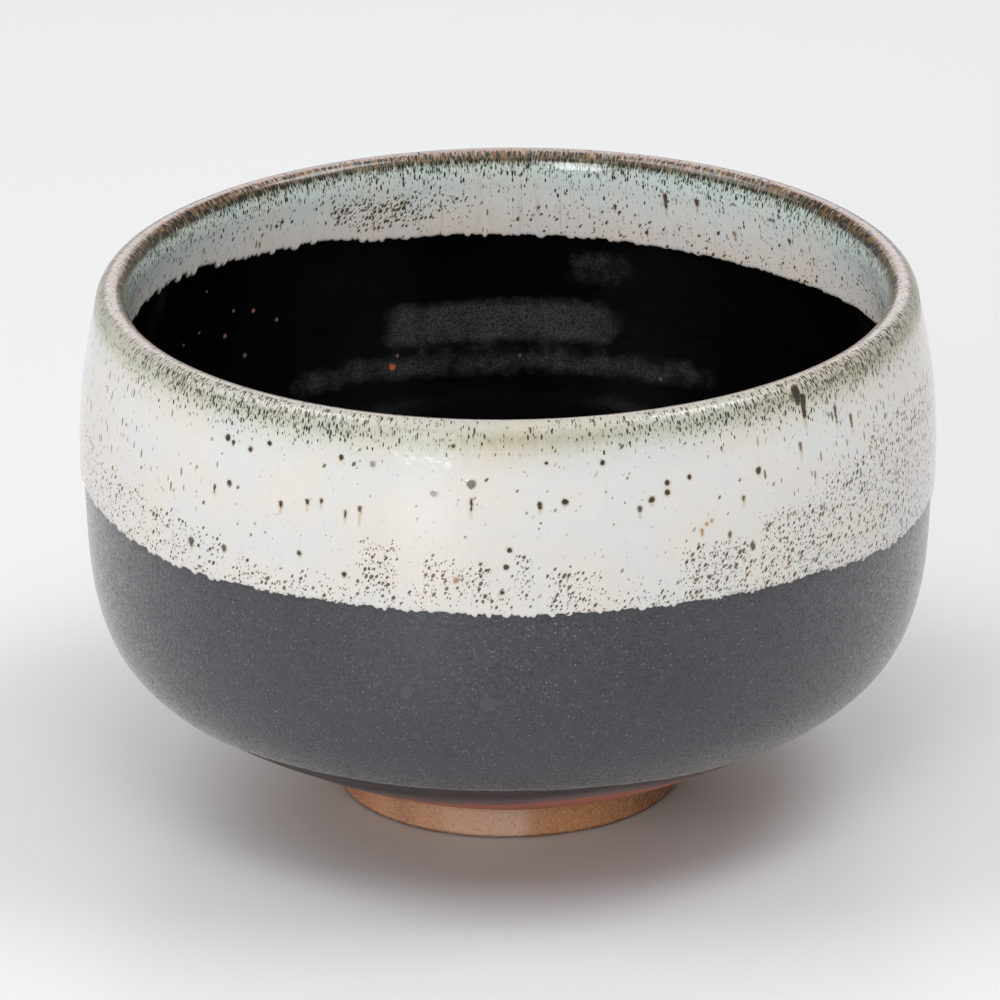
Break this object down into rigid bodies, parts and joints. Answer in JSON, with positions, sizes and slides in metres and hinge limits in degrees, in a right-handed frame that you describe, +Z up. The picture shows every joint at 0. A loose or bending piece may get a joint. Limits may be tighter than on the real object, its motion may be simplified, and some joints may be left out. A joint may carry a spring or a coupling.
{
  "type": "matcha bowl",
  "caption": "Round stoneware tea bowl on a low turned foot, charcoal outside, black inside, with a speckled white glaze band over the lip.",
  "frame": {"origin": "middle of the plane that the foot ring stands on", "axes": "+Z up along the bowl's turning axis; +X and +Y are any two level directions"},
  "size_m": [0.12, 0.12, 0.0747],
  "materials": {
    "stoneware": "unglazed, matt, fine grained iron-bearing stoneware",
    "bare_foot_clay": "unglazed, matt, toasted orange-brown with light grit",
    "thin_glaze": "thin mauve-brown glaze, semi-matt, with a reddish lower edge",
    "charcoal_glaze": "satin charcoal with fine crystal sparkle",
    "black_glaze": "deep gloss black",
    "white_glaze": "glossy cream white with iron specks, olive-brown where it thins at the lip"
  },
  "bodies": {
    "root": {"clay_body": "stoneware", "foot_ring": "bare_foot_clay", "thin_glaze_run": "thin_glaze", "charcoal_glaze": "charcoal_glaze", "black_glaze": "black_glaze", "white_glaze_band": "white_glaze"}
  },
  "joints": []
}
